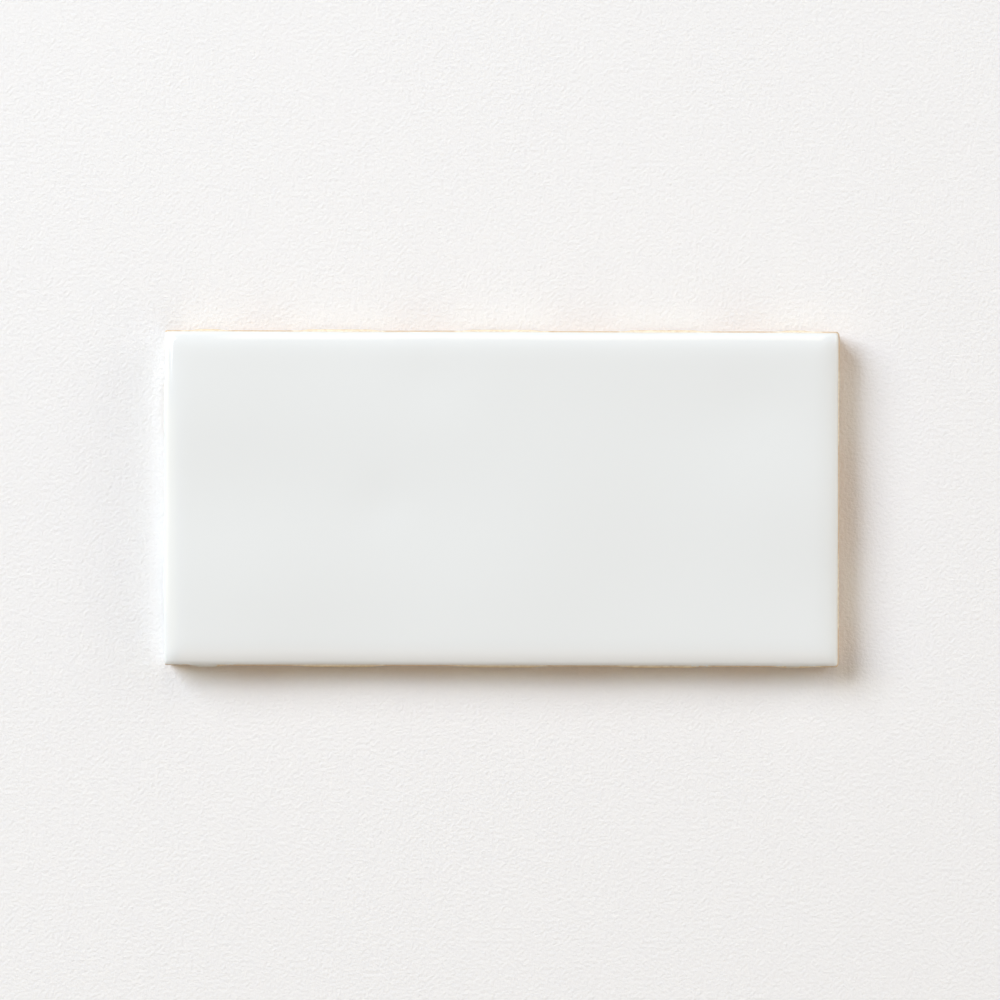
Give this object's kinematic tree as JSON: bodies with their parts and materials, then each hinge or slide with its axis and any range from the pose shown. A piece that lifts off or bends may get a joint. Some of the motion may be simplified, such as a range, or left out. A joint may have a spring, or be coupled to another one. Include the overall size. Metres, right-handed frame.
{
  "type": "subway wall tile",
  "caption": "Flat rectangular glazed ceramic wall tile with a softly waved white face, cushioned edges, low spacer lugs round its sides and a keyed back for adhesive.",
  "frame": {"origin": "middle of the back, in the plane that rests on the floor or the adhesive bed", "axes": "+X along the length, +Y along the width, +Z out of the glazed face"},
  "size_m": [0.1524, 0.0762, 0.0084],
  "materials": {
    "glaze": "white gloss glaze over the face and the rim, running down the left side",
    "biscuit": "bare tan fired clay on the sides, the spacer lugs and the back"
  },
  "bodies": {
    "root": {"wall_tile": "glaze"}
  },
  "joints": []
}
